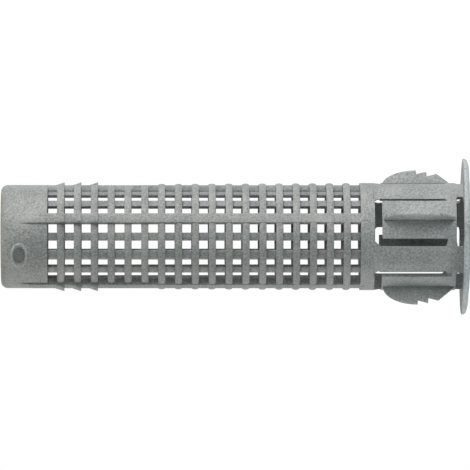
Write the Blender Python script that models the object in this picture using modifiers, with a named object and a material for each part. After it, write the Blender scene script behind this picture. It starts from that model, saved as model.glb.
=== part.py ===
"""Injection mesh sleeve, moulded in one piece of grey plastic.

The sleeve stands on its flange: the mouth is at z = 0 and the closed tip is up.
The fins and the wide bars lie on the X and Y axes.
"""

import math

import bmesh
import bpy
from mathutils import Matrix, Vector

MM = 0.001

# Whole sleeve
OVERALL_LENGTH = 85.0 * MM
TIP_LENGTH = 8.4 * MM

# Mesh: rings round the sleeve and bars along it, all on one bore
MESH_BORE_RADIUS = 8.0 * MM
RING_COUNT = 18
RING_WIDTH = 1.3 * MM
TIP_RING_COUNT = 6
TIP_RING_DEPTH = 1.36 * MM
LOW_RING_DEPTH = 1.68 * MM
HIGH_RING_DEPTH = 1.55 * MM
RING_CROWN = 0.28 * MM
SIDES = 4
BARS_PER_SIDE = 4
THIN_BAR_WIDTH = 1.38 * MM
THIN_BAR_DEPTH = 0.55 * MM
THIN_BAR_TURN = 2.0
THIN_BAR_RADIUS = MESH_BORE_RADIUS + THIN_BAR_DEPTH
WIDE_BAR_WIDTH = 1.86 * MM
WIDE_BAR_ROOT_WIDTH = 1.2 * MM
WIDE_BAR_DEPTH = 1.74 * MM
WIDE_BAR_RADIUS = MESH_BORE_RADIUS + WIDE_BAR_DEPTH

# Barbs on the wide bars, one on each of the rings next to the tip
BARB_COUNT = 3
BARB_LENGTH = 1.65 * MM
BARB_HEIGHT = 0.62 * MM
BARB_WIDTH = 1.6 * MM
BARB_ROOT_DEPTH = 0.1 * MM

# Tip: a closed cap, with the wide bars running out on it
TIP_WALL = 1.36 * MM
TIP_RADIUS = MESH_BORE_RADIUS + TIP_WALL
TIP_EDGE_RADIUS = 1.2 * MM
TIP_END_WALL = 1.4 * MM
BAR_RUN_ON_TIP = 2.8 * MM
BAR_FADE_ON_TIP = 3.0 * MM
OVAL_HEIGHT = 2.2 * MM
OVAL_WIDTH = 3.5 * MM
OVAL_DEPTH = 0.35 * MM
OVAL_FROM_END = 3.1 * MM
OVAL_AZIMUTH = 229.6
OVAL_STEPS = 16
OVAL_CUTTER_HEIGHT = 3.0 * MM

# Head: a slightly wider tube with four windows, each round a springy tongue
HEAD_BORE_STEP = 0.96 * MM
HEAD_WALL = 0.8 * MM
HEAD_BORE_RADIUS = MESH_BORE_RADIUS + HEAD_BORE_STEP
HEAD_RADIUS = HEAD_BORE_RADIUS + HEAD_WALL
HEAD_BAND_LENGTH = 2.5 * MM
HEAD_CONE_LENGTH = 0.9 * MM
HEAD_CONE_SETBACK = 2.0 * MM
TONGUE_WIDTH = 7.1 * MM
TONGUE_LENGTH = 11.7 * MM
SIDE_SLOT_WIDTH = 1.1 * MM
END_SLOT_WIDTH = 1.2 * MM
SLOT_CHAMFER = 0.9 * MM
SLOT_FOOT_CHAMFER = 0.37 * MM
SLOT_START = 4.1 * MM
ROOT_SLOT_WIDTH = 0.9 * MM
ROOT_SLOT_GAP = 0.2 * MM
BEVEL_DEPTH = 0.45 * MM
BEVEL_ANGLE = 41.0
BEVEL_OVERRUN = 0.6 * MM
BEVEL_CLEARANCE = 1.5 * MM

# Toothed fin along the middle of each tongue
FIN_THICKNESS = 0.55 * MM
FIN_HEIGHT = 3.24 * MM
FIN_START = 2.75 * MM
FIN_END_SETBACK = 0.15 * MM
FIN_SHOULDER = 5.2 * MM
FIN_TOOTH_LENGTH = 2.0 * MM
FIN_TOOTH_DROP = 0.8 * MM
FIN_TOOTH_STEP = 0.35 * MM
FIN_TEETH = 3

# Flange round the mouth
FLANGE_WIDTH = 4.44 * MM
FLANGE_RADIUS = HEAD_RADIUS + FLANGE_WIDTH
FLANGE_THICKNESS = 1.1 * MM
FLANGE_FILLET = 0.12 * MM
RIM_SLOPE = 1.2 * MM
RIM_ROUNDING = 0.55 * MM
BACK_EDGE = 0.15 * MM
MOUTH_CHAMFER = 0.5 * MM

# How far one form runs into the next where they are fused
FUSE_DEPTH = 0.4 * MM
BORE_LIP = 0.1 * MM
MERGE_DISTANCE = 0.001 * MM

# Roundness of the turned forms
TURN_STEPS = 32
CORNER_STEPS = 2
FIN_SHOULDER_STEPS = 4
FLAT_ANGLE = 0.3

SLEEVE_GREY = (0.30, 0.31, 0.305, 1.0)
SLEEVE_ROUGHNESS = 0.55


def clear_scene():
    for old in list(bpy.data.objects):
        bpy.data.objects.remove(old, do_unlink=True)


def new_collection(name):
    collection = bpy.data.collections.new(name)
    bpy.context.scene.collection.children.link(collection)
    return collection


def mesh_object(name, bm, collection):
    mesh = bpy.data.meshes.new(name)
    bm.to_mesh(mesh)
    bm.free()
    made = bpy.data.objects.new(name, mesh)
    collection.objects.link(made)
    return made


def arc(centre_r, centre_z, radius_r, radius_z, start, end, steps):
    """Points on an elliptical arc in the profile plane, angles in degrees."""
    points = []
    for step in range(steps + 1):
        angle = math.radians(start + (end - start) * step / steps)
        points.append((centre_r + radius_r * math.cos(angle), centre_z + radius_z * math.sin(angle)))
    return points


def turned(name, profile, closed, collection):
    """A profile of (radius, z) points, down its outer side, turned round Z."""
    bm = bmesh.new()
    corners = [bm.verts.new((radius, 0.0, z)) for radius, z in profile]
    for upper, lower in zip(corners, corners[1:]):
        bm.edges.new((upper, lower))
    if closed:
        bm.edges.new((corners[-1], corners[0]))
    piece = mesh_object(name, bm, collection)
    screw = piece.modifiers.new("turn", "SCREW")
    screw.axis = "Z"
    screw.angle = math.tau
    screw.steps = TURN_STEPS
    screw.render_steps = TURN_STEPS
    screw.use_merge_vertices = True
    screw.merge_threshold = MERGE_DISTANCE
    return piece


def plate(name, outline, thickness, placing, collection):
    """A flat outline given a thickness, centred on its own plane."""
    curve = bpy.data.curves.new(name + "_outline", "CURVE")
    curve.dimensions = "2D"
    curve.fill_mode = "BOTH"
    curve.extrude = thickness / 2
    spline = curve.splines.new("POLY")
    spline.points.add(len(outline) - 1)
    for point, (across, up) in zip(spline.points, outline):
        point.co = (across, up, 0.0, 1.0)
    spline.use_cyclic_u = True
    drawn = bpy.data.objects.new(name + "_outline", curve)
    collection.objects.link(drawn)
    drawn.matrix_world = placing
    bpy.context.view_layer.update()
    evaluated = drawn.evaluated_get(bpy.context.evaluated_depsgraph_get())
    bm = bmesh.new()
    bm.from_mesh(bpy.data.meshes.new_from_object(evaluated))
    bmesh.ops.remove_doubles(bm, verts=bm.verts, dist=MERGE_DISTANCE)
    bmesh.ops.recalc_face_normals(bm, faces=bm.faces)
    made = mesh_object(name, bm, collection)
    made.matrix_world = placing
    bpy.data.objects.remove(drawn, do_unlink=True)
    return made


def upright_plane(azimuth):
    """Outline x runs out from the axis at this azimuth, outline y runs up."""
    out = Vector((math.cos(azimuth), math.sin(azimuth), 0.0))
    up = Vector((0.0, 0.0, 1.0))
    return Matrix((out, up, out.cross(up))).transposed().to_4x4()


def facing_plane(azimuth, distance):
    """Outline x runs across this azimuth, outline y runs up, at a distance from the axis."""
    out = Vector((math.cos(azimuth), math.sin(azimuth), 0.0))
    up = Vector((0.0, 0.0, 1.0))
    across = up.cross(out)
    return Matrix.Translation(out * distance) @ Matrix((across, up, out)).transposed().to_4x4()


def joined(name, pieces, collection):
    """Pieces that do not touch, gathered in one mesh."""
    bm = bmesh.new()
    for piece in pieces:
        copy = piece.data.copy()
        copy.transform(piece.matrix_world)
        bm.from_mesh(copy)
        bpy.data.meshes.remove(copy)
        bpy.data.objects.remove(piece, do_unlink=True)
    return mesh_object(name, bm, collection)


def side_azimuths():
    return [math.tau * side / SIDES for side in range(SIDES)]


# Mesh

def tip_start():
    return OVERALL_LENGTH - TIP_LENGTH


def tongue_end():
    return SLOT_START + TONGUE_LENGTH


def head_end():
    return tongue_end() + END_SLOT_WIDTH + HEAD_BAND_LENGTH


def ring_pitch():
    return (tip_start() - head_end() + RING_WIDTH) / (RING_COUNT + 1)


def ring_bottom(number):
    """Lower side of a ring, counted from the tip."""
    return tip_start() - (number + 1) * ring_pitch()


def ring_radius(number):
    """Rings near the tip lie level with it, the others grow towards the head."""
    if number < TIP_RING_COUNT:
        return MESH_BORE_RADIUS + TIP_RING_DEPTH
    share = (number - TIP_RING_COUNT) / max(1, RING_COUNT - 1 - TIP_RING_COUNT)
    return MESH_BORE_RADIUS + HIGH_RING_DEPTH + (LOW_RING_DEPTH - HIGH_RING_DEPTH) * share


def bar_corners():
    """Corners of the mesh's section: (azimuth, side of the bar, is it wide, is it on top)."""
    corners = []
    bar_count = SIDES * BARS_PER_SIDE
    for bar in range(bar_count):
        azimuth = math.tau * bar / bar_count
        if bar % BARS_PER_SIDE == 0:
            corners += [(azimuth, -1, True, False), (azimuth, -1, True, True)]
            corners += [(azimuth, 1, True, True), (azimuth, 1, True, False)]
        else:
            azimuth += math.radians(THIN_BAR_TURN)
            corners += [(azimuth, -1, False, False), (azimuth, 1, False, False)]
    return corners


def mesh_sections():
    """Sections up the mesh: (z, ring or thin bar radius, wide bar radius, opens above)."""
    low_end = head_end() - FUSE_DEPTH
    high_end = tip_start() + FUSE_DEPTH
    sections = [(low_end - FUSE_DEPTH, THIN_BAR_RADIUS, WIDE_BAR_RADIUS, False)]
    sections.append((low_end, THIN_BAR_RADIUS, WIDE_BAR_RADIUS, True))
    for number in reversed(range(RING_COUNT)):
        bottom = ring_bottom(number)
        top = bottom + RING_WIDTH
        crest = ring_radius(number)
        sections.append((bottom, THIN_BAR_RADIUS, WIDE_BAR_RADIUS, False))
        sections.append((bottom, crest - RING_CROWN, WIDE_BAR_RADIUS, False))
        sections.append(((bottom + top) / 2, crest, WIDE_BAR_RADIUS, False))
        sections.append((top, crest - RING_CROWN, WIDE_BAR_RADIUS, False))
        sections.append((top, THIN_BAR_RADIUS, WIDE_BAR_RADIUS, True))
    sections.append((high_end, THIN_BAR_RADIUS, WIDE_BAR_RADIUS, False))
    fade_start = tip_start() + BAR_RUN_ON_TIP
    sections.append((fade_start, THIN_BAR_RADIUS, WIDE_BAR_RADIUS, False))
    sections.append((fade_start + BAR_FADE_ON_TIP, THIN_BAR_RADIUS, THIN_BAR_RADIUS, False))
    return sections


def bar_width(is_wide, radius):
    """A thin bar has parallel sides, and a wide bar widens from the bore to its top."""
    if not is_wide:
        return THIN_BAR_WIDTH
    share = (radius - MESH_BORE_RADIUS) / WIDE_BAR_DEPTH
    return WIDE_BAR_ROOT_WIDTH + (WIDE_BAR_WIDTH - WIDE_BAR_ROOT_WIDTH) * share


def corner_point(corner, radius, z):
    azimuth, side, is_wide, _ = corner
    offset = side * bar_width(is_wide, radius) / 2
    out = math.sqrt(radius ** 2 - offset ** 2)
    cos_a = math.cos(azimuth)
    sin_a = math.sin(azimuth)
    return (out * cos_a - offset * sin_a, out * sin_a + offset * cos_a, z)


def make_mesh_tube(collection):
    """The lattice, lofted through its sections, with an opening in each gap between bars."""
    corners = bar_corners()
    sections = mesh_sections()
    bm = bmesh.new()
    outer = []
    inner = []
    for z, low_radius, wide_radius, _ in sections:
        skin = []
        for corner in corners:
            radius = wide_radius if corner[3] else low_radius
            skin.append(bm.verts.new(corner_point(corner, radius, z)))
        outer.append(skin)
        inner.append([bm.verts.new(corner_point(corner, MESH_BORE_RADIUS, z)) for corner in corners])
    count = len(corners)
    for level in range(len(sections) - 1):
        above = level + 1
        for here in range(count):
            there = (here + 1) % count
            is_gap = corners[here][0] != corners[there][0]
            out_low, out_high = outer[level], outer[above]
            in_low, in_high = inner[level], inner[above]
            if sections[level][3] and is_gap:
                bm.faces.new((out_low[here], in_low[here], in_low[there], out_low[there]))
                bm.faces.new((out_high[here], out_high[there], in_high[there], in_high[here]))
                bm.faces.new((out_low[here], out_high[here], in_high[here], in_low[here]))
                bm.faces.new((out_low[there], in_low[there], in_high[there], out_high[there]))
            else:
                bm.faces.new((out_low[here], out_low[there], out_high[there], out_high[here]))
                bm.faces.new((in_low[here], in_high[here], in_high[there], in_low[there]))
    for here in range(count):
        there = (here + 1) % count
        bm.faces.new((outer[0][here], inner[0][here], inner[0][there], outer[0][there]))
        bm.faces.new((outer[-1][here], outer[-1][there], inner[-1][there], inner[-1][here]))
    bmesh.ops.remove_doubles(bm, verts=bm.verts, dist=MERGE_DISTANCE)
    bmesh.ops.dissolve_degenerate(bm, dist=MERGE_DISTANCE, edges=bm.edges)
    bmesh.ops.recalc_face_normals(bm, faces=bm.faces)
    return mesh_object("mesh_sleeve", bm, collection)


def make_barbs(collection):
    """Saw teeth on each wide bar, steep towards the flange."""
    buried = WIDE_BAR_RADIUS - BARB_ROOT_DEPTH
    top = WIDE_BAR_RADIUS + BARB_HEIGHT
    root = THIN_BAR_RADIUS
    outline = [(root, ring_bottom(0) + BARB_LENGTH)]
    for number in range(BARB_COUNT):
        steep = ring_bottom(number)
        outline += [(buried, steep + BARB_LENGTH), (top, steep), (buried, steep)]
    outline[-1] = (root, ring_bottom(BARB_COUNT - 1))
    strips = []
    for azimuth in side_azimuths():
        strips.append(plate("barb_strip", outline, BARB_WIDTH, upright_plane(azimuth), collection))
    return joined("barbs", strips, collection)


# Tip

def make_tip(collection):
    end = OVERALL_LENGTH
    bore = MESH_BORE_RADIUS - BORE_LIP
    profile = [(0.0, end)]
    profile += reversed(arc(TIP_RADIUS - TIP_EDGE_RADIUS, end - TIP_EDGE_RADIUS,
                            TIP_EDGE_RADIUS, TIP_EDGE_RADIUS, 0.0, 90.0, CORNER_STEPS))
    profile += [(TIP_RADIUS, tip_start()), (bore, tip_start())]
    profile += [(bore, end - TIP_END_WALL), (0.0, end - TIP_END_WALL)]
    return turned("tip", profile, False, collection)


def make_oval_cutter(collection):
    """A shallow oval mark on the side of the tip."""
    azimuth = math.radians(OVAL_AZIMUTH)
    depth = TIP_RADIUS - OVAL_DEPTH
    bpy.ops.mesh.primitive_cylinder_add(vertices=OVAL_STEPS, radius=1.0, depth=1.0)
    cutter = bpy.context.object
    cutter.name = "oval_cutter"
    placing = facing_plane(azimuth, depth + OVAL_CUTTER_HEIGHT / 2)
    lift = Matrix.Translation((0.0, 0.0, OVERALL_LENGTH - OVAL_FROM_END))
    shape = Matrix.Diagonal((OVAL_WIDTH / 2, OVAL_HEIGHT / 2, OVAL_CUTTER_HEIGHT, 1.0))
    cutter.data.transform(lift @ placing @ shape)
    for holder in list(cutter.users_collection):
        holder.objects.unlink(cutter)
    collection.objects.link(cutter)
    return cutter


# Head

def make_head(collection):
    """The plain tube of the head with the flange round its mouth."""
    neck = MESH_BORE_RADIUS - BORE_LIP
    top = head_end()
    cone_end = top - HEAD_CONE_SETBACK
    face_radius = FLANGE_RADIUS - RIM_SLOPE
    profile = [(HEAD_RADIUS, top), (HEAD_RADIUS, FLANGE_THICKNESS + FLANGE_FILLET)]
    profile += [(HEAD_RADIUS + FLANGE_FILLET, FLANGE_THICKNESS)]
    profile += [(FLANGE_RADIUS - BACK_EDGE, FLANGE_THICKNESS)]
    profile += [(FLANGE_RADIUS, FLANGE_THICKNESS - BACK_EDGE)]
    profile += arc(face_radius, RIM_ROUNDING, RIM_SLOPE, RIM_ROUNDING, 0.0, -90.0, CORNER_STEPS)
    profile += [(HEAD_BORE_RADIUS + MOUTH_CHAMFER, 0.0), (HEAD_BORE_RADIUS, MOUTH_CHAMFER)]
    profile += [(HEAD_BORE_RADIUS, cone_end - HEAD_CONE_LENGTH), (neck, cone_end), (neck, top)]
    return turned("head", profile, True, collection)


def slot_outline():
    """A staple-shaped slot: two side slots joined by the slot at the tongue's free end."""
    inner = TONGUE_WIDTH / 2
    outer = inner + SIDE_SLOT_WIDTH
    free_end = tongue_end()
    top = free_end + END_SLOT_WIDTH
    foot = SLOT_START + SLOT_FOOT_CHAMFER
    right = [(inner, free_end), (inner, foot), (inner + SLOT_FOOT_CHAMFER, SLOT_START)]
    right += [(outer - SLOT_FOOT_CHAMFER, SLOT_START), (outer, foot)]
    right += [(outer, top - SLOT_CHAMFER), (outer - SLOT_CHAMFER, top)]
    left = [(-across, up) for across, up in reversed(right)]
    return right + left


def root_slot_outline():
    """A slot across the tongue's root, beside the flange, with rounded ends."""
    half = TONGUE_WIDTH / 2 + SIDE_SLOT_WIDTH
    low = FLANGE_THICKNESS + ROOT_SLOT_GAP
    middle = low + ROOT_SLOT_WIDTH / 2
    end = ROOT_SLOT_WIDTH / 2
    right = arc(half - end, middle, end, end, -90.0, 90.0, CORNER_STEPS + 1)
    left = [(-across, up) for across, up in reversed(right)]
    return right + left


def bevel_outline():
    """Section of the cut that slopes the head's wall down to a slot, seen along the sleeve."""
    high = math.radians(BEVEL_ANGLE)
    slot_side = TONGUE_WIDTH / 2 + SIDE_SLOT_WIDTH
    low_radius = HEAD_RADIUS - BEVEL_DEPTH
    crest = Vector((HEAD_RADIUS * math.cos(high), HEAD_RADIUS * math.sin(high)))
    foot = Vector((math.sqrt(low_radius ** 2 - slot_side ** 2), slot_side))
    slope = (foot - crest).normalized()
    inside = foot + slope * (SIDE_SLOT_WIDTH / 2)
    outside = crest - slope * SIDE_SLOT_WIDTH
    lift = Vector((-slope.y, slope.x)) * BEVEL_CLEARANCE
    return [tuple(inside), tuple(outside), tuple(outside + lift), tuple(inside + lift)]


def make_window_cutters(collection):
    """Slots and bevels of the four windows."""
    wall_middle = (HEAD_RADIUS + HEAD_BORE_RADIUS) / 2
    slot_side = TONGUE_WIDTH / 2 + SIDE_SLOT_WIDTH
    wall_inside = math.sqrt(HEAD_BORE_RADIUS ** 2 - slot_side ** 2) - SIDE_SLOT_WIDTH
    reach = 2 * (wall_middle - wall_inside)
    bevel_low = SLOT_START - BEVEL_OVERRUN
    bevel_length = TONGUE_LENGTH + END_SLOT_WIDTH + BEVEL_OVERRUN
    outline = bevel_outline()
    mirrored = [(out, -across) for out, across in reversed(outline)]
    slots = []
    bevels = []
    for azimuth in side_azimuths():
        face = facing_plane(azimuth, wall_middle)
        slots.append(plate("slot", slot_outline(), reach, face, collection))
        slots.append(plate("root_slot", root_slot_outline(), reach, face, collection))
        turn = Matrix.Rotation(azimuth, 4, "Z")
        raise_up = Matrix.Translation((0.0, 0.0, bevel_low + bevel_length / 2))
        for side in (outline, mirrored):
            bevels.append(plate("bevel", side, bevel_length, turn @ raise_up, collection))
    return joined("slots", slots, collection), joined("bevels", bevels, collection)


def fin_outline():
    """Side view of a fin: a curved back rising from the free end, then teeth, then a slope."""
    root = (HEAD_RADIUS + HEAD_BORE_RADIUS) / 2
    high = tongue_end() - FIN_END_SETBACK
    back = arc(HEAD_RADIUS, high - FIN_SHOULDER, FIN_HEIGHT, FIN_SHOULDER,
               90.0, 0.0, FIN_SHOULDER_STEPS)
    outline = [(root, high)] + back
    peak = HEAD_RADIUS + FIN_HEIGHT
    level = high - FIN_SHOULDER
    for _ in range(FIN_TEETH - 1):
        valley = peak - FIN_TOOTH_DROP
        peak = peak - FIN_TOOTH_STEP
        outline.append((valley, level))
        level -= FIN_TOOTH_LENGTH
        outline.append((peak, level))
    outline += [(HEAD_RADIUS, FIN_START), (root, FIN_START)]
    return outline


def make_fins(collection):
    fins = []
    for azimuth in side_azimuths():
        fins.append(plate("fin", fin_outline(), FIN_THICKNESS, upright_plane(azimuth), collection))
    return joined("fins", fins, collection)


# Finish and assembly

def sleeve_plastic():
    material = bpy.data.materials.new("grey_plastic")
    material.use_nodes = True
    shader = material.node_tree.nodes["Principled BSDF"]
    shader.inputs["Base Color"].default_value = SLEEVE_GREY
    shader.inputs["Roughness"].default_value = SLEEVE_ROUGHNESS
    shader.inputs["Metallic"].default_value = 0.0
    material.diffuse_color = SLEEVE_GREY
    return material


def combine(target, operation, tool):
    """Fuse a form to the sleeve or cut one from it."""
    modifier = target.modifiers.new(operation.lower() + "_" + tool.name, "BOOLEAN")
    modifier.operation = operation
    modifier.solver = "EXACT"
    modifier.object = tool
    tool.hide_render = True
    tool.display_type = "WIRE"


def merge_flat_faces(piece):
    """Leave no edges between faces that lie in one plane."""
    modifier = piece.modifiers.new("merge_flat_faces", "DECIMATE")
    modifier.decimate_type = "DISSOLVE"
    modifier.angle_limit = math.radians(FLAT_ANGLE)


def main():
    clear_scene()
    sleeve_parts = new_collection("injection_mesh_sleeve")
    forms = new_collection("forms_and_cutters")
    sleeve = make_mesh_tube(sleeve_parts)
    sleeve.data.materials.append(sleeve_plastic())
    slots, bevels = make_window_cutters(forms)
    combine(sleeve, "UNION", make_tip(forms))
    combine(sleeve, "UNION", make_head(forms))
    combine(sleeve, "DIFFERENCE", bevels)
    combine(sleeve, "UNION", make_fins(forms))
    combine(sleeve, "DIFFERENCE", slots)
    combine(sleeve, "UNION", make_barbs(forms))
    combine(sleeve, "DIFFERENCE", make_oval_cutter(forms))
    merge_flat_faces(sleeve)


main()
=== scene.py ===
"""Looks of the injection mesh sleeve: one grey plastic moulding on a plain pale floor.

The sleeve stands on its flange with its tip up, as the frame says. Each form of the
moulding is a surface worked out with numpy, and they run into each other where the
plastic does. The camera looks at the sleeve from the side, rolled so that the tip
points to the picture's left.
"""

import math

import bmesh
import bpy
import numpy as np
from mathutils import Matrix, Vector


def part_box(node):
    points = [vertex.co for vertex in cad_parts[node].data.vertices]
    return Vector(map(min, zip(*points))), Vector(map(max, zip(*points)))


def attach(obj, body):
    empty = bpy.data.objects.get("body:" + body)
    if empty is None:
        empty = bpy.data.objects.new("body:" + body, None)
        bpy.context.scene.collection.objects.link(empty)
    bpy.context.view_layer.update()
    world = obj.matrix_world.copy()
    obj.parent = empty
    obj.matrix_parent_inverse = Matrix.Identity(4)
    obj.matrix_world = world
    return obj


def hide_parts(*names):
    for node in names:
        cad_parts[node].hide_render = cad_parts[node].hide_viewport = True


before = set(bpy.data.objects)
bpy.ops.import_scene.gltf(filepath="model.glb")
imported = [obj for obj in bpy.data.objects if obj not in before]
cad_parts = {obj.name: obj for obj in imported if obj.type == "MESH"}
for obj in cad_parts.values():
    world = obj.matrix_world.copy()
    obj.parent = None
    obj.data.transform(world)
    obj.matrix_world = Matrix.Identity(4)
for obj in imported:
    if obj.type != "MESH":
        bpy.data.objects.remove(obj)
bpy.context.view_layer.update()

MM = 0.001
NODE = "mesh_sleeve"
BODY = "root"

# Sizes of the moulding. Length and flange come from the frame, and the rest follows the photo.
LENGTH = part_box(NODE)[1][2]
FLANGE_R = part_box(NODE)[1][0]
HEAD_TOP = 19.8 * MM
TIP_FACE = LENGTH - 8.47 * MM
BORE_R = 8.0 * MM
HEAD_R = 9.76 * MM
HEAD_BORE_R = 9.08 * MM
TIP_R = 9.38 * MM

# How the forms meet: bars reach into tip and head by FUSE, and hidden faces sit back by LIP
FUSE = 0.4 * MM
LIP = 0.05 * MM
EDGE = 0.07 * MM
EDGE_SEGMENTS = 2
EDGE_ANGLE = math.radians(28)
MERGE_DISTANCE = 1e-7

# Four like sides, one quarter turn (in degrees) apart, and where the camera stands
SIDES = 4
SIDE_AZIMUTHS = [math.tau * side / SIDES for side in range(SIDES)]
QUARTER = 360.0 / SIDES
SIDE_VIEW_AZIMUTH = math.radians(249.5)


# Mesh helpers

def add_piece(name, verts, quads, edge=EDGE):
    """A closed mesh from arrays, its doubles merged, and its edges rounded if edge is given."""
    mesh = bpy.data.meshes.new(name)
    mesh.from_pydata(verts.tolist(), [], quads.tolist())
    bm = bmesh.new()
    bm.from_mesh(mesh)
    bmesh.ops.remove_doubles(bm, verts=bm.verts, dist=MERGE_DISTANCE)
    bmesh.ops.dissolve_degenerate(bm, dist=MERGE_DISTANCE, edges=bm.edges)
    bmesh.ops.recalc_face_normals(bm, faces=bm.faces)
    bm.to_mesh(mesh)
    bm.free()
    mesh.polygons.foreach_set("use_smooth", np.ones(len(mesh.polygons), dtype=bool))
    piece = bpy.data.objects.new(name, mesh)
    bpy.context.scene.collection.objects.link(piece)
    if edge:
        rounding = piece.modifiers.new("rounded_edges", "BEVEL")
        rounding.width = edge
        rounding.segments = EDGE_SEGMENTS
        rounding.limit_method = "ANGLE"
        rounding.angle_limit = EDGE_ANGLE
        rounding.use_clamp_overlap = True
        rounding.harden_normals = True
    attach(piece, BODY)
    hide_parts(NODE)
    return piece


def pierced_shell(outer, inner, is_open, close_first=True, close_last=True):
    """Outer and inner skins on one grid (row, column), with walls round the open cells.

    outer and inner are (rows, columns, 3) arrays that wrap round in the column direction.
    is_open is (rows - 1, columns) and says which cells are holes.
    """
    rows, columns = outer.shape[:2]
    number = np.arange(rows * columns).reshape(rows, columns)
    out_low, out_high = number[:-1], number[1:]
    inside = number + rows * columns
    in_low, in_high = inside[:-1], inside[1:]
    shut = ~is_open
    quads = []

    def take(a, b, c, d, mask):
        """Faces over four grids of point numbers, where the mask holds."""
        quads.append(np.stack([a[mask], b[mask], c[mask], d[mask]], axis=-1))

    def after(grid):
        """The next column round."""
        return np.roll(grid, -1, axis=1)

    take(out_low, after(out_low), after(out_high), out_high, shut)
    take(in_low, in_high, after(in_high), after(in_low), shut)
    before_open = np.roll(is_open, 1, axis=1)
    take(out_low, out_high, in_high, in_low, is_open & ~before_open)
    take(out_low, in_low, in_high, out_high, shut & before_open)
    level = number[1:-1]
    inner_level = inside[1:-1]
    take(level, after(level), after(inner_level), inner_level, shut[1:] & is_open[:-1])
    take(level, inner_level, after(inner_level), after(level), is_open[1:] & shut[:-1])
    if close_first:
        first, in_first = number[:1], inside[:1]
        take(first, in_first, after(in_first), after(first), shut[:1])
    if close_last:
        last, in_last = number[-1:], inside[-1:]
        take(last, after(last), after(in_last), in_last, shut[-1:])
    verts = np.concatenate([outer.reshape(-1, 3), inner.reshape(-1, 3)])
    return verts, np.concatenate(quads)


def swept(sections):
    """A closed section carried along a path: (stations, points, 3), with both ends filled."""
    stations, points = sections.shape[:2]
    centres = sections[[0, -1]].mean(axis=1, keepdims=True)
    low = np.repeat(centres[:1], points, axis=1)
    high = np.repeat(centres[1:], points, axis=1)
    grid = np.concatenate([low, sections, high])
    number = np.arange((stations + 2) * points).reshape(stations + 2, points)
    after = np.roll(number, -1, axis=1)
    quads = np.stack([number[:-1], after[:-1], after[1:], number[1:]], axis=-1)
    return grid.reshape(-1, 3), quads.reshape(-1, 4)


def turned_ring(section, columns):
    """A closed section, (points, radius and z), turned once round Z and joined to itself."""
    angle = np.arange(columns)[None, :] * math.tau / columns
    points = on_cylinder(angle, section[:, :1], section[:, 1:])
    number = np.arange(len(section) * columns).reshape(len(section), columns)
    after = np.roll(number, -1, axis=1)
    above = np.roll(number, -1, axis=0)
    above_after = np.roll(after, -1, axis=0)
    quads = np.stack([number, after, above_after, above], axis=-1)
    return points.reshape(-1, 3), quads.reshape(-1, 4)


def joined(parts):
    """Several meshes as one: their points in a row, each one's faces counted on."""
    counts = [len(verts) for verts, _ in parts]
    starts = np.cumsum([0] + counts[:-1])
    verts = np.concatenate([part_verts for part_verts, _ in parts])
    quads = np.concatenate([part_quads + start for (_, part_quads), start in zip(parts, starts)])
    return verts, quads


def on_cylinder(angle, radius, z):
    """Points from cylinder coordinates: radius times the angle's cosine and sine, and z."""
    angle, radius, z = np.broadcast_arrays(angle, radius, z)
    return np.stack([radius * np.cos(angle), radius * np.sin(angle), z], axis=-1)


def facing(azimuth, out, across, z):
    """Points that lie out from the axis towards an azimuth and across it, turned about Z."""
    out, across, z = np.broadcast_arrays(out, across, z)
    x = out * math.cos(azimuth) - across * math.sin(azimuth)
    y = out * math.sin(azimuth) + across * math.cos(azimuth)
    return np.stack([x, y, z], axis=-1)


def quarter_round(steps):
    """Cosine and sine over a quarter turn, for a rounded corner."""
    turn = np.linspace(0.0, math.pi / 2, steps)
    return np.cos(turn), np.sin(turn)


def blade_section(line, halves, corner, foot_r):
    """Section of a blade along its edge line (z, radius): a foot and a rounded outer edge.

    The outer corners are quarter circles below the edge line, and the sides run straight
    down to the foot. halves are the half widths at the edge and at the foot, and corner is
    a radius with its steps. It returns how far the points lie across the blade and out
    from Z.
    """
    half, foot_half = halves
    corner_r, steps = corner
    c, s = quarter_round(steps)
    edge = half - corner_r * (1 - c)
    across = np.concatenate([[foot_half], edge, -edge[::-1], [-foot_half]])
    crown = line[:, 1:] - corner_r * (1 - s)
    foot = np.full((len(line), 1), foot_r)
    out = np.concatenate([foot, crown, crown[:, ::-1], foot], axis=1)
    return across, out


# Lattice

RING_COUNT = 18
RING_COLUMNS = 216
RING_WIDTH = 1.3 * MM
RING_PITCH = 3.05 * MM
RING_BORE_R = 8.45 * MM
RING_CREST_R = 9.59 * MM
RING_GROWTH = 0.15 * MM
RING_CORNER = 0.16 * MM
RING_CORNER_STEPS = 6
RING_CROWN = 0.1 * MM
RING_CROWN_STEPS = 9
LEVEL_RINGS = 6
THIN_BAR_R = 8.54 * MM
THIN_BAR_BORE_R = 7.86 * MM
THIN_BAR_HALF = 0.73 * MM
THIN_BAR_CORNER = 0.1 * MM
THIN_BAR_CORNER_STEPS = 3
THIN_BAR_STATIONS = 60
THIN_BAR_TURN = math.radians(2.0)
BARS_PER_SIDE = 4


def ring_bottom(number):
    """Lower face of a ring, counted from the tip: one pitch further down for each."""
    return TIP_FACE - (number + 1) * RING_PITCH


def ring_crest(number):
    """Rings next to the tip are level with it, and the others grow towards the head."""
    if number < LEVEL_RINGS:
        return TIP_R
    share = (number - LEVEL_RINGS) / (RING_COUNT - 1 - LEVEL_RINGS)
    return RING_CREST_R + RING_GROWTH * share


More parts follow.
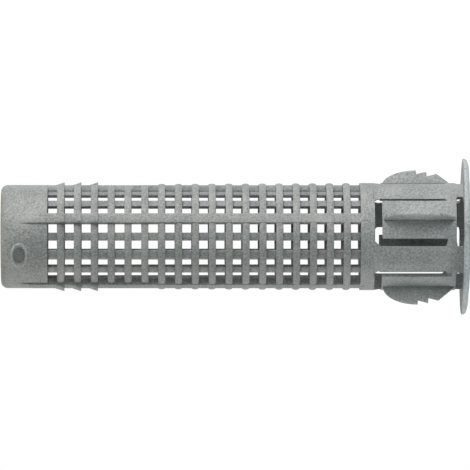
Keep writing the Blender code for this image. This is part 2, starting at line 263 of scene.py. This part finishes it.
def ring_section(number):
    """Flat bore, quarter circle corners and a crest crowned as a parabola: (radius, z)."""
    low = ring_bottom(number)
    high = low + RING_WIDTH
    crest = ring_crest(number)
    c, s = quarter_round(RING_CORNER_STEPS)
    corner_r = crest - RING_CROWN - RING_CORNER * (1 - s)
    corner_z = RING_CORNER * (1 - c)
    share = np.linspace(-1.0, 1.0, RING_CROWN_STEPS)[1:-1]
    crown_r = crest - RING_CROWN * share ** 2
    crown_z = low + RING_WIDTH / 2 + share * (RING_WIDTH / 2 - RING_CORNER)
    bore = [RING_BORE_R]
    radius = np.concatenate([bore, corner_r, crown_r, corner_r[::-1], bore])
    z = np.concatenate([[low], low + corner_z, crown_z, high - corner_z[::-1], [high]])
    return np.stack([radius, z], axis=-1)


def make_rings():
    """Each ring is its section turned once round Z."""
    rings = [turned_ring(ring_section(number), RING_COLUMNS) for number in range(RING_COUNT)]
    return add_piece("rings", *joined(rings), edge=0.0)


def make_thin_bars():
    """Bars inside the rings: an oblong section with rounded corners, from head to tip."""
    c, s = quarter_round(THIN_BAR_CORNER_STEPS)
    edge = THIN_BAR_HALF - THIN_BAR_CORNER * (1 - c)
    across = np.concatenate([edge, -edge[::-1], -edge, edge[::-1]])
    top = THIN_BAR_R - THIN_BAR_CORNER * (1 - s)
    foot = THIN_BAR_BORE_R + THIN_BAR_CORNER * (1 - s)
    out = np.concatenate([top, top[::-1], foot, foot[::-1]])
    z = np.linspace(HEAD_TOP - FUSE, TIP_FACE + FUSE, THIN_BAR_STATIONS)[:, None]
    places = SIDES * BARS_PER_SIDE
    thin = [place for place in range(places) if place % BARS_PER_SIDE]
    azimuths = [place * math.tau / places + THIN_BAR_TURN for place in thin]
    bars = [swept(facing(azimuth, out, across, z)) for azimuth in azimuths]
    return add_piece("thin_bars", *joined(bars), edge=0.0)


# Wide bars with their barbs

WIDE_BAR_R = 9.72 * MM
WIDE_BAR_HALF = 0.93 * MM
WIDE_BAR_CORNER = 0.18 * MM
WIDE_BAR_CORNER_STEPS = 4
WIDE_BAR_EDGE = 0.04 * MM
BARB_COUNT = 3
BARB_LENGTH = 1.65 * MM
BARB_HEIGHT = 0.53 * MM
BARB_FLAT = 0.16 * MM
TIP_RUN = 2.8 * MM
TIP_FADE = 3.0 * MM
# On the head band the bar is a narrower low ridge: its first two points, then a short step up
HEAD_RUN = 2.4 * MM
HEAD_RUN_TOP = 0.3 * MM
HEAD_RUN_HEIGHT = 0.09 * MM
HEAD_RUN_STEP = 0.05 * MM
HEAD_RUN_POINTS = 2
HEAD_RUN_NARROWING = 0.6


def wide_bar_line():
    """The bar's outer edge, seen from the side, as (z, radius) from the head to the tip."""
    line = [(HEAD_TOP - HEAD_RUN, HEAD_R - 2 * LIP)]
    line += [(HEAD_TOP - HEAD_RUN_TOP, HEAD_R + HEAD_RUN_HEIGHT)]
    line += [(HEAD_TOP - HEAD_RUN_STEP, WIDE_BAR_R)]
    for number in reversed(range(BARB_COUNT)):
        steep = ring_bottom(number)
        line += [(steep, WIDE_BAR_R), (steep, WIDE_BAR_R + BARB_HEIGHT)]
        line += [(steep + BARB_FLAT, WIDE_BAR_R + BARB_HEIGHT)]
        line += [(steep + BARB_LENGTH, WIDE_BAR_R)]
    fade_from = TIP_FACE + TIP_RUN
    line += [(fade_from, WIDE_BAR_R), (fade_from + TIP_FADE, TIP_R - 2 * LIP)]
    return np.array(line)


def make_wide_bar(side, azimuth):
    """A blade section carried along the edge line, its sides pointing to the sleeve's axis."""
    line = wide_bar_line()
    halves = (WIDE_BAR_HALF, WIDE_BAR_HALF * RING_BORE_R / WIDE_BAR_R)
    corner = (WIDE_BAR_CORNER, WIDE_BAR_CORNER_STEPS)
    across, out = blade_section(line, halves, corner, RING_BORE_R)
    narrowing = np.ones((len(line), 1))
    narrowing[:HEAD_RUN_POINTS] = HEAD_RUN_NARROWING
    sections = facing(azimuth, out, across * narrowing, line[:, :1])
    return add_piece(f"wide_bar_{side}", *swept(sections), edge=WIDE_BAR_EDGE)


# Tip

TIP_COLUMNS = 400
TIP_SIDE_ROWS = 84
TIP_CORNER = 1.2 * MM
TIP_CORNER_STEPS = 9
TIP_END_WALL = 1.4 * MM
OVAL_AZIMUTH = math.radians(227.7)
OVAL_Z = LENGTH - 3.35 * MM
OVAL_HALF = (1.75 * MM, 1.1 * MM)
OVAL_DEPTH = 0.34 * MM
OVAL_RIM = 0.15 * MM
# Distances from the oval's middle, where 1 is its edge
OVAL_WALL = 0.12
OVAL_RIM_AT = 1.2
OVAL_RIM_SPREAD = 0.12


def oval_relief(angle, z):
    """Height of the oval mark: a shallow pan with a thin raised rim, from its oval distance.

    The pan falls in a straight wall to its depth, and the rim is a bell curve.
    """
    across = (angle - OVAL_AZIMUTH) * TIP_R
    reach = np.hypot(across / OVAL_HALF[0], (z - OVAL_Z) / OVAL_HALF[1])
    pan = -OVAL_DEPTH * np.clip((1.0 - reach) / OVAL_WALL, 0.0, 1.0)
    rim = OVAL_RIM * np.exp(-((reach - OVAL_RIM_AT) / OVAL_RIM_SPREAD) ** 2)
    return pan + rim


def make_tip():
    """A closed cap turned from its profile, with the oval mark sunk in its side."""
    angle = np.arange(TIP_COLUMNS)[None, :] * math.tau / TIP_COLUMNS
    c, s = quarter_round(TIP_CORNER_STEPS)
    side = np.linspace(TIP_FACE, LENGTH - TIP_CORNER, TIP_SIDE_ROWS + 1)
    z_out = np.concatenate([side[:-1], LENGTH - TIP_CORNER * (1 - s), [LENGTH]])
    side_r = np.full(TIP_SIDE_ROWS, TIP_R)
    r_out = np.concatenate([side_r, TIP_R - TIP_CORNER * (1 - c), [0.0]])
    rows = len(z_out)
    inner_end = LENGTH - TIP_END_WALL
    z_in = np.concatenate([np.linspace(TIP_FACE, inner_end, rows - 1), [inner_end]])
    r_in = np.concatenate([np.full(rows - 1, BORE_R - LIP), [0.0]])
    on_side = np.arange(rows)[:, None] <= TIP_SIDE_ROWS
    relief = np.where(on_side, oval_relief(angle, z_out[:, None]), 0.0)
    outer = on_cylinder(angle, r_out[:, None] + relief, z_out[:, None])
    inner = on_cylinder(angle, r_in[:, None], z_in[:, None])
    is_open = np.zeros((rows - 1, TIP_COLUMNS), dtype=bool)
    return add_piece("tip", *pierced_shell(outer, inner, is_open, close_last=False))


# Head, with four windows and their tongues, and the flange

# Angles in degrees from a tongue's middle. The moulding is slightly uneven from side to side.
TONGUE_EDGES = (-22.6, 21.3)
SLOT_EDGES = (-31.4, 27.2)
BEVEL_CREST = 41.0
TONGUE_COLUMNS = [0.0, 5.0, 10.0, 16.0]
STRIP_COLUMNS = [31.8, 36.4, BEVEL_CREST, 45.0, QUARTER - BEVEL_CREST, 53.8]
NEXT_TONGUE_COLUMNS = [74.0, 80.0, 85.0]
PLUS_SLOT_INSET = 3.0
MINUS_SLOT_INSET = 5.8
ANGLE_SLACK = 1e-6

NECK_Z = 18.5 * MM
SLOT_TOP = 17.27 * MM
CHAMFER = 0.95 * MM
TONGUE_TOP = 15.95 * MM
SLOT_FOOT = 4.15 * MM
TONGUE_FOOT_RISE = 0.4 * MM
TONGUE_ROWS = 7
ROOT_SLOT = (1.14 * MM, 2.5 * MM)
BEVEL = 0.5 * MM
BEVEL_Z = (3.45 * MM, 17.42 * MM)
BEVEL_END = 0.1 * MM
FIRST_TONGUE_EXTRA = 0.35 * MM

# How far the corners of the slots slide: along Z, and round the axis in degrees
PLUS_TOP_DROP = 0.55 * MM
MINUS_TOP_DROP = 0.85 * MM
TOP_CORNER_TURN = 0.8
FOOT_CORNER_RISE = 0.2 * MM
FOOT_CORNER_TURN = 1.0
ROOT_CORNER_DROP = 0.2 * MM

FLANGE_THICK = 1.1 * MM
RIM_THINNING = 0.14 * MM
RIM_THINNING_R = 12.0 * MM
RIM_BACK_ROUND = 0.14 * MM
RIM_BACK_STEPS = 4
RIM_FACE_ROUND = (1.2 * MM, 0.62 * MM)
RIM_FACE_STEPS = 8
MOUTH_FACE_R = 11.0 * MM
MOUTH_CHAMFER = 0.4 * MM
FLANGE_LEAN = 0.45 * MM
LEAN_TOWARDS = SIDE_VIEW_AZIMUTH - math.radians(40.0)


def head_columns():
    """Angles of the grid's columns, in degrees, with the depth of the bevel at each.

    The bevel is deepest at the slot and falls evenly to nothing at its crest.
    """
    low_tongue, high_tongue = TONGUE_EDGES
    low_slot, high_slot = SLOT_EDGES
    angles = TONGUE_COLUMNS + [high_tongue, high_slot - PLUS_SLOT_INSET, high_slot]
    angles += STRIP_COLUMNS
    angles += [QUARTER + low_slot, QUARTER + low_slot + MINUS_SLOT_INSET, QUARTER + low_tongue]
    angles = np.array(angles + NEXT_TONGUE_COLUMNS)
    depths = np.clip((BEVEL_CREST - angles) / (BEVEL_CREST - high_slot), 0.0, 1.0)
    depths = np.where(angles > high_tongue, depths, 0.0)
    turns = QUARTER * np.arange(SIDES)[:, None]
    return (angles + turns).ravel(), np.tile(depths, SIDES)


def head_profile():
    """Matching outer and inner rows, (z, radius) each, from the head's top to the mouth.

    The rows down to the flange share their levels, which are returned too. Below them the
    outer rows run round the flange's rim and across its face, and the inner ones go down
    the bore.
    """
    z = [HEAD_TOP, NECK_Z, BEVEL_Z[1] + BEVEL_END, BEVEL_Z[1], SLOT_TOP, SLOT_TOP - CHAMFER]
    z += list(np.linspace(TONGUE_TOP, SLOT_FOOT + TONGUE_FOOT_RISE, TONGUE_ROWS))
    z += [SLOT_FOOT, BEVEL_Z[0], BEVEL_Z[0] - BEVEL_END]
    z += [ROOT_SLOT[1], sum(ROOT_SLOT) / 2, ROOT_SLOT[0], FLANGE_THICK]
    levels = np.array(z)

    rim_back = FLANGE_THICK - RIM_THINNING
    outer = [(level, HEAD_R) for level in z]
    outer += [((FLANGE_THICK + rim_back) / 2, RIM_THINNING_R)]
    c, s = quarter_round(RIM_BACK_STEPS)
    back_z = rim_back - RIM_BACK_ROUND * (1 - s[::-1])
    back_r = FLANGE_R - RIM_BACK_ROUND * (1 - c[::-1])
    outer += zip(back_z, back_r)
    inset, rise = RIM_FACE_ROUND
    c, s = quarter_round(RIM_FACE_STEPS)
    outer += zip(rise * (1 - s), FLANGE_R - inset * (1 - c))
    outer += [(0.0, MOUTH_FACE_R), (0.0, HEAD_BORE_R + MOUTH_CHAMFER)]

    neck = BORE_R - LIP
    inner = [(HEAD_TOP, neck), (NECK_Z, neck), (NECK_Z, neck)]
    inner += [(level, HEAD_BORE_R) for level in z[3:]]
    low = np.linspace(FLANGE_THICK, MOUTH_CHAMFER, len(outer) - len(inner) + 1)[1:]
    inner += [(level, HEAD_BORE_R) for level in low]
    return np.array(outer), np.array(inner), levels


def shape_slots(z, angles, levels):
    """Slide the corner points of the slots to give them chamfered and rounded ends."""
    z = np.repeat(z, len(angles), axis=1)
    angle = np.repeat(angles[None, :], len(z), axis=0)

    def row_at(level):
        """The row that lies nearest to a level."""
        return int(np.argmin(abs(levels - level)))

    top = row_at(SLOT_TOP)
    foot = row_at(SLOT_FOOT)
    root_low = row_at(ROOT_SLOT[0])
    root_high = row_at(ROOT_SLOT[1])
    local = angles % QUARTER
    plus = np.isclose(local, SLOT_EDGES[1])
    minus = np.isclose(local, QUARTER + SLOT_EDGES[0])
    both = plus | minus
    z[top, plus] -= PLUS_TOP_DROP
    z[top, minus] -= MINUS_TOP_DROP
    angle[top, plus] -= TOP_CORNER_TURN
    angle[top, minus] += TOP_CORNER_TURN
    z[foot, both] += FOOT_CORNER_RISE
    angle[foot, plus] -= FOOT_CORNER_TURN
    angle[foot, minus] += FOOT_CORNER_TURN
    z[root_high, both] -= ROOT_CORNER_DROP
    z[root_low, both] += ROOT_CORNER_DROP
    return z, angle


def slot_cells(angles, outer_z):
    """Which cells of the grid are open: the slots over the tongues, beside them and below."""
    mid = (outer_z[:-1] + outer_z[1:])[:, None] / 2
    start = angles % QUARTER
    end = np.roll(start, -1)
    end = np.where(end < start, end + QUARTER, end)
    plus = end <= SLOT_EDGES[1] + ANGLE_SLACK
    minus = start >= QUARTER + SLOT_EDGES[0] - ANGLE_SLACK
    plus_leg = plus & (start >= TONGUE_EDGES[1] - ANGLE_SLACK)
    minus_leg = minus & (end <= QUARTER + TONGUE_EDGES[0] + ANGLE_SLACK)
    over = (mid < SLOT_TOP) & (mid > TONGUE_TOP) & (plus | minus)
    beside = (mid < TONGUE_TOP) & (mid > SLOT_FOOT) & (plus_leg | minus_leg)
    below = (mid < ROOT_SLOT[1]) & (mid > ROOT_SLOT[0]) & (plus | minus)
    return over | beside | below


def lean(points):
    """Tilt the flange towards the tip on one side: a cosine round it, growing with radius."""
    radius = np.hypot(points[..., 0], points[..., 1])
    around = np.arctan2(points[..., 1], points[..., 0])
    out = np.clip((radius - HEAD_R) / (FLANGE_R - HEAD_R), 0.0, 1.0)
    points[..., 2] += FLANGE_LEAN * out * (0.5 + 0.5 * np.cos(around - LEAN_TOWARDS))
    return points


def make_head():
    """A pierced shell turned from its profile, with bevels beside the slots and the flange."""
    angles, bevel = head_columns()
    outer, inner, levels = head_profile()
    z, radius = outer[:, :1], outer[:, 1:]
    in_bevel = (z <= BEVEL_Z[1]) & (z >= BEVEL_Z[0])
    radius = radius - np.where(in_bevel, BEVEL * bevel, 0.0)
    outer_z, outer_angle = shape_slots(z, angles, levels)
    outer_points = lean(on_cylinder(np.radians(outer_angle), radius, outer_z))

    last_turn = QUARTER * SIDES
    in_first = (angles <= TONGUE_EDGES[1]) | (angles >= last_turn + TONGUE_EDGES[0])
    thickened = (z <= TONGUE_TOP) & (z >= SLOT_FOOT) & in_first
    bore = inner[:, 1:] - np.where(thickened, FIRST_TONGUE_EXTRA, 0.0)
    inner_z, inner_angle = shape_slots(inner[:, :1], angles, levels)
    inner_points = on_cylinder(np.radians(inner_angle), bore, inner_z)
    is_open = slot_cells(angles, outer[:, 0])
    return add_piece("head", *pierced_shell(outer_points, inner_points, is_open))


# Fins

FIN_HALF = 0.28 * MM
FIN_CORNER = 0.1 * MM
FIN_CORNER_STEPS = 3
FIN_EDGE = 0.05 * MM
FIN_FOOT_R = HEAD_BORE_R + 0.3 * MM
FIN_TURN = math.radians(-1.1)
FIN_SCALES = (0.94, 1.0, 1.03, 1.0)
FIN_END = 2.6 * MM
FIN_TOP = 15.65 * MM
FIN_BACK_STEPS = 14
FIN_TEETH = [(5.62 * MM, 12.22 * MM), (7.48 * MM, 12.68 * MM), (9.4 * MM, 12.94 * MM)]
FIN_VALLEYS = [11.74 * MM, 12.18 * MM]
FIN_TOOTH_SLOPE = 0.06 * MM


def fin_line():
    """The fin's outer edge, seen from the side, as (z, radius) from the flange to the tip.

    Three teeth with steep faces towards the flange, then a quarter ellipse up to the top.
    """
    root = HEAD_R - LIP
    line = [(FIN_END, root), FIN_TEETH[0]]
    for valley, (peak_z, peak_r) in zip(FIN_VALLEYS, FIN_TEETH[1:]):
        line += [(peak_z - FIN_TOOTH_SLOPE, valley), (peak_z, peak_r)]
    last_z, last_r = FIN_TEETH[-1]
    c, s = quarter_round(FIN_BACK_STEPS)
    back = np.stack([last_z + (FIN_TOP - last_z) * s, root + (last_r - root) * c], axis=-1)
    return np.concatenate([line[:-1], back])


def make_fin(side, azimuth):
    """A thin blade section carried along the edge line, taller or lower by its own scale."""
    line = fin_line()
    line[:, 1] = HEAD_R + (line[:, 1] - HEAD_R) * FIN_SCALES[side]
    corner = (FIN_CORNER, FIN_CORNER_STEPS)
    across, out = blade_section(line, (FIN_HALF, FIN_HALF), corner, FIN_FOOT_R)
    sections = facing(azimuth, out, across, line[:, :1])
    return add_piece(f"fin_{side}", *swept(sections), edge=FIN_EDGE)


# Node helpers

def add_node(nodes, kind, inputs=None, operation=None):
    """A node of a kind, with its operation and the given input values set."""
    node = nodes.new(kind)
    if operation:
        node.operation = operation
    for name, value in (inputs or {}).items():
        node.inputs[name].default_value = value
    return node


def add_ramp(nodes, stops):
    """A colour ramp through (position, colour) stops, from the lowest to the highest."""
    ramp = nodes.new("ShaderNodeValToRGB")
    elements = ramp.color_ramp.elements
    ends = (elements[0], elements[1])
    for element, (position, colour) in zip(ends, (stops[0], stops[-1])):
        element.position = position
        element.color = (*colour, 1.0)
    for position, colour in stops[1:-1]:
        elements.new(position).color = (*colour, 1.0)
    return ramp


def grey(level):
    """A colour with all three parts at one level."""
    return (level, level, level)


# Finish

CLOUD = {"Scale": 160.0, "Detail": 3.0, "Roughness": 0.55}
SPECK = {"Scale": 2900.0, "Detail": 3.0}
SPECK_SHARE = 0.62
GRAIN = {"Scale": 1900.0, "Detail": 4.0}
GRAIN_BUMP = {"Strength": 0.45, "Distance": 0.05 * MM}
PLASTIC_TONES = [(0.38, (0.205, 0.227, 0.231)), (0.62, (0.405, 0.421, 0.423))]
PLASTIC_ROUGHNESS = {"To Min": 0.50, "To Max": 0.66}
PLASTIC_SPECULAR = 0.4
# Painted shade inside the oval mark and a painted highlight on its rim, by half the distance
# from its middle
OVAL_PAINTED_SHADE_AND_HIGHLIGHT = [(0.45, 0.66), (0.53, 1.0), (0.57, 1.3), (0.66, 1.3), (0.74, 1.0)]
# Painted light on the flange's rim: the colour scaled up from 1 to 1.34 between these radii
RIM_PAINTED_LIGHT = {"From Min": 12.0 * MM, "From Max": 13.9 * MM, "To Min": 1.0, "To Max": 1.34}


def cloudy_tint(nodes, links, place):
    """Colour from two noises mixed, a broad cloud and a fine speck, and the cloud itself."""
    cloud = add_node(nodes, "ShaderNodeTexNoise", CLOUD)
    links.new(place, cloud.inputs["Vector"])
    speck = add_node(nodes, "ShaderNodeTexNoise", SPECK)
    links.new(place, speck.inputs["Vector"])
    blend = nodes.new("ShaderNodeMix")
    blend.data_type = "FLOAT"
    blend.inputs["Factor"].default_value = SPECK_SHARE
    links.new(cloud.outputs["Fac"], blend.inputs["A"])
    links.new(speck.outputs["Fac"], blend.inputs["B"])
    tint = add_ramp(nodes, PLASTIC_TONES)
    links.new(blend.outputs["Result"], tint.inputs["Fac"])
    return tint.outputs["Color"], cloud.outputs["Fac"]


def with_painted_oval_shading(nodes, links, place, colour):
    """The colour times a painted shade inside the oval mark and a painted highlight on its rim,
    read from the oval distance on its own side.
    """
    half_across, half_along = OVAL_HALF
    turned = add_node(nodes, "ShaderNodeMapping", {"Rotation": (0.0, 0.0, -OVAL_AZIMUTH)})
    links.new(place, turned.inputs["Vector"])
    placing = {"Scale": (0.0, 1.0 / half_across, 1.0 / half_along)}
    placing["Location"] = (0.0, 0.0, -OVAL_Z / half_along)
    scaled = add_node(nodes, "ShaderNodeMapping", placing)
    links.new(turned.outputs["Vector"], scaled.inputs["Vector"])
    reach = add_node(nodes, "ShaderNodeVectorMath", operation="LENGTH")
    links.new(scaled.outputs["Vector"], reach.inputs[0])
    parts = nodes.new("ShaderNodeSeparateXYZ")
    links.new(turned.outputs["Vector"], parts.inputs["Vector"])
    behind = add_node(nodes, "ShaderNodeMath", {1: 0.0}, "LESS_THAN")
    links.new(parts.outputs["X"], behind.inputs[0])
    shifted = nodes.new("ShaderNodeMath")
    links.new(reach.outputs["Value"], shifted.inputs[0])
    links.new(behind.outputs["Value"], shifted.inputs[1])
    halved = add_node(nodes, "ShaderNodeMath", {1: 0.5}, "MULTIPLY")
    links.new(shifted.outputs["Value"], halved.inputs[0])
    # Ramp of painted shade (levels below 1) and painted highlight (levels above 1)
    oval_shading_ramp = add_ramp(nodes, [(position, grey(level)) for position, level in OVAL_PAINTED_SHADE_AND_HIGHLIGHT])
    links.new(halved.outputs["Value"], oval_shading_ramp.inputs["Fac"])
    oval_painted_shading = nodes.new("ShaderNodeMix")
    oval_painted_shading.data_type = "RGBA"
    oval_painted_shading.blend_type = "MULTIPLY"
    oval_painted_shading.inputs["Factor"].default_value = 1.0
    links.new(colour, oval_painted_shading.inputs["A"])
    links.new(oval_shading_ramp.outputs["Color"], oval_painted_shading.inputs["B"])
    return oval_painted_shading.outputs["Result"]


def with_painted_rim_light(nodes, links, place, colour):
    """Painted light on the flange's thin rim: the colour scaled up towards it, by the distance
    from the axis.
    """
    flat = add_node(nodes, "ShaderNodeMapping", {"Scale": (1.0, 1.0, 0.0)})
    links.new(place, flat.inputs["Vector"])
    radius = add_node(nodes, "ShaderNodeVectorMath", operation="LENGTH")
    links.new(flat.outputs["Vector"], radius.inputs[0])
    level = add_node(nodes, "ShaderNodeMapRange", RIM_PAINTED_LIGHT)
    links.new(radius.outputs["Value"], level.inputs["Value"])
    lit = add_node(nodes, "ShaderNodeVectorMath", operation="SCALE")
    links.new(colour, lit.inputs[0])
    links.new(level.outputs["Result"], lit.inputs["Scale"])
    return lit.outputs["Vector"]


def grey_plastic():
    """Satin grey plastic: a faint cloudy colour, a fine grain and a soft sheen, with painted
    shade and highlight at the oval mark and painted light on the flange's rim.
    """
    material = bpy.data.materials.new("grey_plastic")
    material.use_nodes = True
    nodes = material.node_tree.nodes
    links = material.node_tree.links
    shader = nodes["Principled BSDF"]
    shader.inputs["Specular IOR Level"].default_value = PLASTIC_SPECULAR
    place = nodes.new("ShaderNodeTexCoord").outputs["Object"]

    tint, cloud = cloudy_tint(nodes, links, place)
    # Painted shade inside the oval mark and a painted highlight on its rim go into the colour
    oval_painted_shading = with_painted_oval_shading(nodes, links, place, tint)
    # Painted light on the flange's rim, then into the base colour
    links.new(with_painted_rim_light(nodes, links, place, oval_painted_shading), shader.inputs["Base Color"])

    dull = add_node(nodes, "ShaderNodeMapRange", PLASTIC_ROUGHNESS)
    links.new(cloud, dull.inputs["Value"])
    links.new(dull.outputs["Result"], shader.inputs["Roughness"])

    grain = add_node(nodes, "ShaderNodeTexNoise", GRAIN)
    links.new(place, grain.inputs["Vector"])
    bump = add_node(nodes, "ShaderNodeBump", GRAIN_BUMP)
    links.new(grain.outputs["Fac"], bump.inputs["Height"])
    links.new(bump.outputs["Normal"], shader.inputs["Normal"])
    return material


# Camera

CAMERA_DISTANCE = 1.274
CLIP = (0.01, 20.0)
SENSOR = 36.0
# The picture's side and scale, and where the tip, the axis and the eye's height lie in it
PICTURE = 470
PIXELS_PER_METRE = 5495.0
TIP_PIXEL_X = 1.3
AXIS_PIXEL_Y = 236.6
EYE_PIXEL_X = 135.0


def make_camera():
    """Looks across the sleeve's axis from far off, rolled so that the tip points left."""
    towards = Vector((math.cos(SIDE_VIEW_AZIMUTH), math.sin(SIDE_VIEW_AZIMUTH), 0.0))
    up = Vector((0.0, 0.0, 1.0)).cross(towards)
    middle = PICTURE / 2
    aim_z = LENGTH - (middle - TIP_PIXEL_X) / PIXELS_PER_METRE
    eye_z = LENGTH - (EYE_PIXEL_X - TIP_PIXEL_X) / PIXELS_PER_METRE
    aim = up * ((AXIS_PIXEL_Y - middle) / PIXELS_PER_METRE) + Vector((0.0, 0.0, aim_z))
    eye = aim + towards * CAMERA_DISTANCE + Vector((0.0, 0.0, eye_z - aim_z))
    back = (eye - aim).normalized()
    right = up.cross(back)
    data = bpy.data.cameras.new("camera")
    data.sensor_width = SENSOR
    data.lens = SENSOR * PIXELS_PER_METRE * CAMERA_DISTANCE / PICTURE
    data.clip_start, data.clip_end = CLIP
    camera = bpy.data.objects.new("camera", data)
    bpy.context.scene.collection.objects.link(camera)
    turn = Matrix((right, up, back)).transposed().to_4x4()
    camera.matrix_world = Matrix.Translation(eye) @ turn
    bpy.context.scene.camera = camera
    return towards, up


# Room and floor

FILL = {"Color": (0.45, 1.0, 0.85, 1.0), "Strength": 0.055}
FLOOR_RADIUS = 0.6
FLOOR_CORNERS = 96
FLOOR_PAINT = (0.8, 0.8, 0.8, 1.0)
SEEN_FLOOR_STRENGTH = 1.115
SEEN_FLOOR_SHARE = 0.88
GLOW_REACH = 0.06
GLOW_STRENGTH = 0.42
BLACK = (0.0, 0.0, 0.0)
GLOW_COLOURS = [(0.20, BLACK), (0.22, (0.72, 0.88, 1.0)), (1.0, BLACK)]


def sees_background(nodes, links):
    """1 for camera, glossy and transmission rays, and 0 for the rays that light things."""
    rays = nodes.new("ShaderNodeLightPath")
    first = add_node(nodes, "ShaderNodeMath", operation="MAXIMUM")
    links.new(rays.outputs["Is Camera Ray"], first.inputs[0])
    links.new(rays.outputs["Is Glossy Ray"], first.inputs[1])
    both = add_node(nodes, "ShaderNodeMath", operation="MAXIMUM")
    links.new(first.outputs["Value"], both.inputs[0])
    links.new(rays.outputs["Is Transmission Ray"], both.inputs[1])
    return both.outputs["Value"]


def make_world():
    """White where the camera looks past the sleeve, and a soft even light on the sleeve."""
    world = bpy.data.worlds.new("soft_room")
    world.use_nodes = True
    nodes = world.node_tree.nodes
    links = world.node_tree.links
    nodes.clear()
    out = nodes.new("ShaderNodeOutputWorld")
    white = {"Color": (1.0, 1.0, 1.0, 1.0), "Strength": 1.0}
    seen = add_node(nodes, "ShaderNodeBackground", white)
    fill = add_node(nodes, "ShaderNodeBackground", FILL)
    mix = nodes.new("ShaderNodeMixShader")
    links.new(sees_background(nodes, links), mix.inputs["Fac"])
    links.new(fill.outputs["Background"], mix.inputs[1])
    links.new(seen.outputs["Background"], mix.inputs[2])
    links.new(mix.outputs["Shader"], out.inputs["Surface"])
    bpy.context.scene.world = world


def glowing_ring(nodes, links):
    """Light from a ring round the flange: a ramp over the distance from the floor's middle."""
    place = nodes.new("ShaderNodeTexCoord")
    distance = add_node(nodes, "ShaderNodeVectorMath", operation="LENGTH")
    links.new(place.outputs["Object"], distance.inputs[0])
    reach = add_node(nodes, "ShaderNodeMapRange", {"From Max": GLOW_REACH})
    links.new(distance.outputs["Value"], reach.inputs["Value"])
    ring = add_ramp(nodes, GLOW_COLOURS)
    links.new(reach.outputs["Result"], ring.inputs["Fac"])
    upward = add_node(nodes, "ShaderNodeEmission", {"Strength": GLOW_STRENGTH})
    links.new(ring.outputs["Color"], upward.inputs["Color"])
    return upward.outputs["Emission"]


def floor_white():
    """Pale paint with the glowing ring for the light, and mostly plain white to the camera."""
    material = bpy.data.materials.new("floor_white")
    material.use_nodes = True
    nodes = material.node_tree.nodes
    links = material.node_tree.links
    nodes.clear()
    out = nodes.new("ShaderNodeOutputMaterial")
    paint = add_node(nodes, "ShaderNodeBsdfDiffuse", {"Color": FLOOR_PAINT})
    lit = nodes.new("ShaderNodeAddShader")
    links.new(paint.outputs["BSDF"], lit.inputs[0])
    links.new(glowing_ring(nodes, links), lit.inputs[1])
    seen = add_node(nodes, "ShaderNodeEmission", {"Strength": SEEN_FLOOR_STRENGTH})
    share = add_node(nodes, "ShaderNodeMath", {1: SEEN_FLOOR_SHARE}, "MULTIPLY")
    links.new(sees_background(nodes, links), share.inputs[0])
    mix = nodes.new("ShaderNodeMixShader")
    links.new(share.outputs["Value"], mix.inputs["Fac"])
    links.new(lit.outputs["Shader"], mix.inputs[1])
    links.new(seen.outputs["Emission"], mix.inputs[2])
    links.new(mix.outputs["Shader"], out.inputs["Surface"])
    return material


def make_floor():
    """A flat disk that the sleeve stands on, its corners evenly spaced on a circle."""
    around = np.linspace(0.0, math.tau, FLOOR_CORNERS, endpoint=False)
    corners = on_cylinder(around, FLOOR_RADIUS, 0.0)
    mesh = bpy.data.meshes.new("floor")
    mesh.from_pydata(corners.tolist(), [], [list(range(FLOOR_CORNERS))])
    mesh.materials.append(floor_white())
    floor = bpy.data.objects.new("floor", mesh)
    bpy.context.scene.collection.objects.link(floor)


# Lamps: where each one stands (picture's up, towards the camera, along the sleeve to its tip),
# its size in metres, its watts and its colour

LAMP_DISTANCE = 0.8
LAMPS = {
    "key": ((1.0, 0.5, 0.2), 0.4, 3.75, (1.0, 0.96, 0.97)),
    "front": ((1.0, 1.0, 0.25), 0.4, 1.32, (0.90, 0.97, 1.0)),
    "below": ((-1.0, 0.0, 0.15), 0.6, 3.7, (1.0, 0.96, 0.94)),
    "past_tip": ((0.5, 0.3, 1.0), 0.5, 2.2, (1.0, 0.86, 0.66)),
}


def make_lamps(towards, up):
    """Soft disks aimed at the sleeve's middle, all at one distance from it."""
    middle = Vector((0.0, 0.0, LENGTH / 2))
    axes = (up, towards, Vector((0.0, 0.0, 1.0)))
    for name, (shares, size, watts, colour) in LAMPS.items():
        direction = sum((axis * share for axis, share in zip(axes, shares)), Vector())
        data = bpy.data.lights.new(name, "AREA")
        data.shape = "DISK"
        data.size = size
        data.energy = watts
        data.color = colour
        lamp = bpy.data.objects.new(name, data)
        bpy.context.scene.collection.objects.link(lamp)
        lamp.location = middle + direction.normalized() * LAMP_DISTANCE
        lamp.rotation_euler = direction.to_track_quat("Z", "Y").to_euler()


towards, up = make_camera()
make_world()
make_floor()
make_lamps(towards, up)

pieces = [make_rings(), make_thin_bars(), make_tip(), make_head()]
for side, azimuth in enumerate(SIDE_AZIMUTHS):
    pieces.append(make_wide_bar(side, azimuth))
    pieces.append(make_fin(side, azimuth + FIN_TURN))
plastic = grey_plastic()
for piece in pieces:
    piece.data.materials.append(plastic)

bpy.context.scene.view_settings.view_transform = "Standard"
